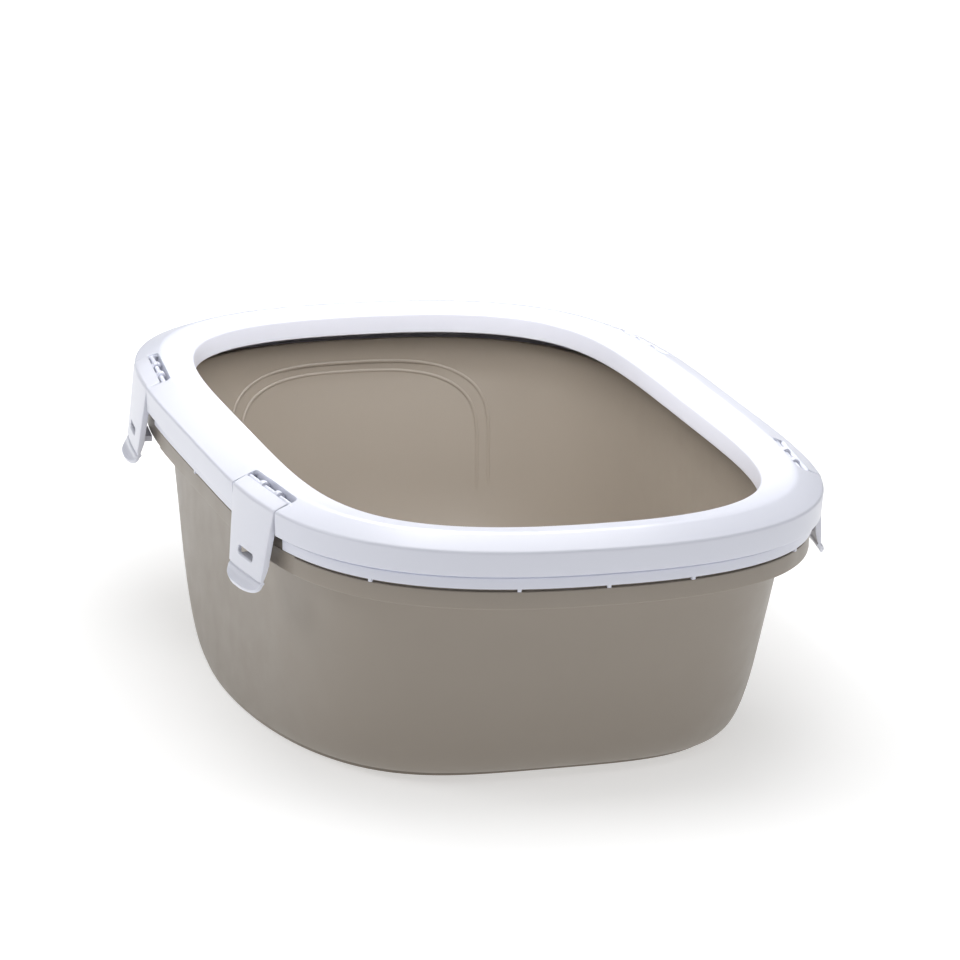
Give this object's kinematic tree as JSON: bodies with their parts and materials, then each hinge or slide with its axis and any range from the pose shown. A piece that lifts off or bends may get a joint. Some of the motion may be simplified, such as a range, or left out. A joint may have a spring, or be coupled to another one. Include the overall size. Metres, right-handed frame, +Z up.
{
  "type": "cat litter box",
  "caption": "Open-topped litter tray with a wide splash rim that drops over its collar and is held down by hinged latch clips on the long sides.",
  "frame": {"origin": "on the floor, under the middle of the rim's outline", "axes": "+X to the right side, +Y to the rear end, +Z up; the front end faces -Y"},
  "size_m": [0.4136, 0.598, 0.1923],
  "materials": {
    "tray_plastic": "warm grey-brown polypropylene, satin, fine moulded texture",
    "rim_plastic": "cool white polypropylene, semi-gloss, smooth",
    "clip_plastic": "cool white polypropylene, semi-gloss, smooth"
  },
  "bodies": {
    "tray": {"tray": "tray_plastic"},
    "rim": {"rim": "rim_plastic"},
    "clip_front_left": {"clip_front_left": "clip_plastic"},
    "clip_front_right": {"clip_front_right": "clip_plastic"},
    "clip_rear_left": {"clip_rear_left": "clip_plastic"},
    "clip_rear_right": {"clip_rear_right": "clip_plastic"}
  },
  "joints": [
    {"name": "rim_lift", "type": "slide", "parent": "tray", "child": "rim", "axis": [0, 0, 1], "range_m": [0, 0.12]},
    {"name": "clip_front_left_hinge", "type": "hinge", "parent": "rim", "child": "clip_front_left", "pos_m": [-0.18126, -0.1442, 0.18732], "axis": [-0.1232, 0.9924, 0], "range_deg": [0, 100]},
    {"name": "clip_front_right_hinge", "type": "hinge", "parent": "rim", "child": "clip_front_right", "pos_m": [0.18126, -0.1442, 0.18732], "axis": [-0.1232, -0.9924, 0], "range_deg": [0, 100]},
    {"name": "clip_rear_left_hinge", "type": "hinge", "parent": "rim", "child": "clip_rear_left", "pos_m": [-0.18126, 0.1442, 0.18732], "axis": [0.1232, 0.9924, 0], "range_deg": [0, 100]},
    {"name": "clip_rear_right_hinge", "type": "hinge", "parent": "rim", "child": "clip_rear_right", "pos_m": [0.18126, 0.1442, 0.18732], "axis": [0.1232, -0.9924, 0], "range_deg": [0, 100]}
  ]
}
